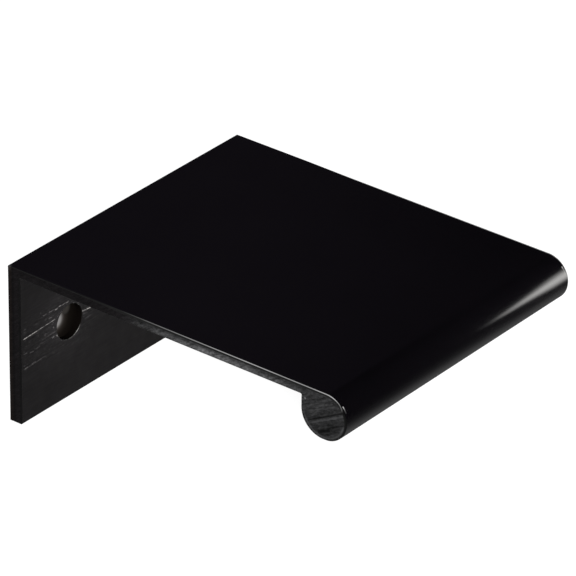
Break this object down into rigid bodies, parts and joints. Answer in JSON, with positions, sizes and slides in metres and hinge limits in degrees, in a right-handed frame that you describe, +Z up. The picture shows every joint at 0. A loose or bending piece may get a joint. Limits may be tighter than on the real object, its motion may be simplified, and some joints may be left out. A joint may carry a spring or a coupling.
{
  "type": "tab pull",
  "caption": "Black anodised aluminium tab pull: a thin plate over a drawer front's top edge, a screwed flange behind it and a solid rounded finger bead in front.",
  "frame": {"origin": "midway between the two screw holes, on the flange's front face, which bears on the back of the drawer front", "axes": "+X along the extrusion, +Z up out of the plate's top face, -Y forward towards the finger bead"},
  "size_m": [0.0382, 0.0446, 0.0188],
  "materials": {
    "black_anodised": "black anodised, satin, with sawn ends left slightly rougher and greyer"
  },
  "bodies": {
    "root": {"tab_pull": "black_anodised"}
  },
  "joints": []
}
